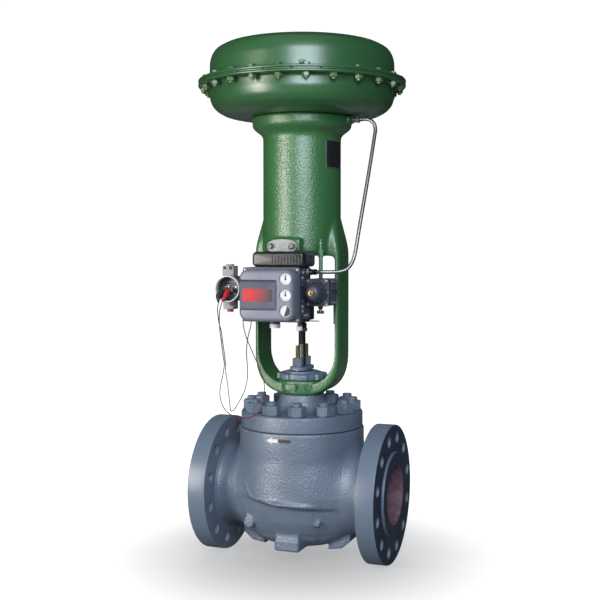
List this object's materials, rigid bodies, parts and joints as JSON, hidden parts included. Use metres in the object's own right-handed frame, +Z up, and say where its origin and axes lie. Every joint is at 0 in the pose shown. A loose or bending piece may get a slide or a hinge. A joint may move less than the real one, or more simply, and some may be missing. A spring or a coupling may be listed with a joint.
{
  "type": "pneumatic globe control valve",
  "caption": "Flanged globe control valve with bolted bonnet, cast yoke, spring-and-diaphragm actuator, digital positioner, air regulator and two test leads.",
  "frame": {"origin": "Where the pipe axis meets the stem axis, in the middle of the valve body.", "axes": "X along the pipe with the inlet flange at +X, Z up along the stem, the positioner on the -Y side."},
  "size_m": [0.536, 0.536, 1.3378],
  "materials": {
    "body_paint": "semi-gloss blue-grey paint on cast steel",
    "stud_paint": "blue-grey paint on steel studs and nuts",
    "stud_brass": "yellow-plated studs",
    "graphite": "dark packing and gasket",
    "trim_steel": "machined stainless steel",
    "stem_steel": "polished stem",
    "green_paint": "glossy green paint with orange peel",
    "bushing_brass": "turned brass",
    "diaphragm_rubber": "fabric-reinforced rubber",
    "dark_steel": "dark steel",
    "black_iron": "black cast iron",
    "tube_steel": "stainless tube",
    "silver_paint": "silver-grey coated plate",
    "slate_paint": "dark slate paint on die-cast aluminium",
    "cover_grey": "satin grey plastic",
    "black_plastic": "black moulded plastic",
    "dial_white": "white dial",
    "screw_brass": "brass",
    "red_insulation": "red lead and boot",
    "black_insulation": "black lead and boot"
  },
  "bodies": {
    "valve": {"valve_body": "body_paint", "bonnet": "body_paint", "bonnet_stud_01": "stud_paint", "bonnet_stud_02": "stud_paint", "bonnet_stud_03": "stud_paint", "bonnet_stud_04": "stud_paint", "bonnet_stud_05": "stud_paint", "bonnet_stud_06": "stud_paint", "bonnet_stud_07": "stud_paint", "bonnet_stud_08": "stud_paint", "bonnet_stud_09": "stud_paint", "bonnet_stud_10": "stud_paint", "bonnet_stud_11": "stud_paint", "bonnet_stud_12": "stud_paint", "packing_flange": "body_paint", "yoke_locknut": "body_paint", "packing_stud_1": "stud_brass", "packing_stud_2": "stud_brass", "packing_rings": "graphite", "bonnet_gasket": "graphite", "seat_ring": "trim_steel", "valve_cage": "trim_steel", "yoke": "green_paint", "lower_casing": "green_paint", "upper_casing": "green_paint", "vent_riser": "green_paint", "seal_bushing": "bushing_brass", "diaphragm": "diaphragm_rubber", "actuator_spring": "dark_steel", "tube_fitting_lower": "dark_steel", "travel_scale": "tube_steel", "air_tube": "tube_steel", "tube_fitting_upper": "tube_steel", "positioner_bracket": "silver_paint", "positioner_housing": "slate_paint", "terminal_box": "slate_paint", "regulator_body": "slate_paint", "regulator_spring_case": "slate_paint", "positioner_cover": "cover_grey", "relay_cover": "black_plastic", "supply_gauge": "dial_white", "output_gauge": "dial_white", "blank_gauge": "dial_white", "red_lead": "red_insulation", "red_clip": "red_insulation", "black_lead": "black_insulation", "black_clip": "black_insulation"},
    "stem": {"valve_plug": "trim_steel", "valve_stem": "stem_steel", "actuator_stem": "stem_steel", "diaphragm_plate": "dark_steel", "spring_seat": "dark_steel", "connector_front": "black_iron", "connector_back": "black_iron", "travel_pointer": "dark_steel", "magnet_bar": "dark_steel"},
    "output_pointer": {"output_needle": "black_plastic"},
    "supply_pointer": {"supply_needle": "black_plastic"},
    "adjuster": {"regulator_screw": "screw_brass"},
    "drain": {"drain_valve": "screw_brass"}
  },
  "joints": [
    {"name": "stem_travel", "type": "slide", "parent": "valve", "child": "stem", "axis": [0, 0, 1], "range_m": [0, 0.051], "stiffness_N_per_m": 157000, "springref_m": -0.0127, "deforming": ["actuator_spring", "diaphragm"]},
    {"name": "output_pointer_turn", "type": "hinge", "parent": "valve", "child": "output_pointer", "pos_m": [0.0455, -0.2372, 0.516], "axis": [0, 1, 0], "range_deg": [0, 90]},
    {"name": "supply_pointer_turn", "type": "hinge", "parent": "valve", "child": "supply_pointer", "pos_m": [0.0455, -0.2372, 0.5545], "axis": [0, 1, 0], "range_deg": [0, 90], "stiffness_Nm_per_rad": 0.0002},
    {"name": "adjuster_turn", "type": "hinge", "parent": "valve", "child": "adjuster", "pos_m": [0.0974, -0.2004, 0.52], "axis": [0, -1, 0], "continuous": true},
    {"name": "drain_turn", "type": "hinge", "parent": "valve", "child": "drain", "pos_m": [0.0914, -0.115, 0.4777], "axis": [0, 0, 1], "range_deg": [0, 90]}
  ],
  "couplings": [
    {"joint": "output_pointer_turn", "follows": "stem_travel", "rad_per_m": 27.38}
  ]
}
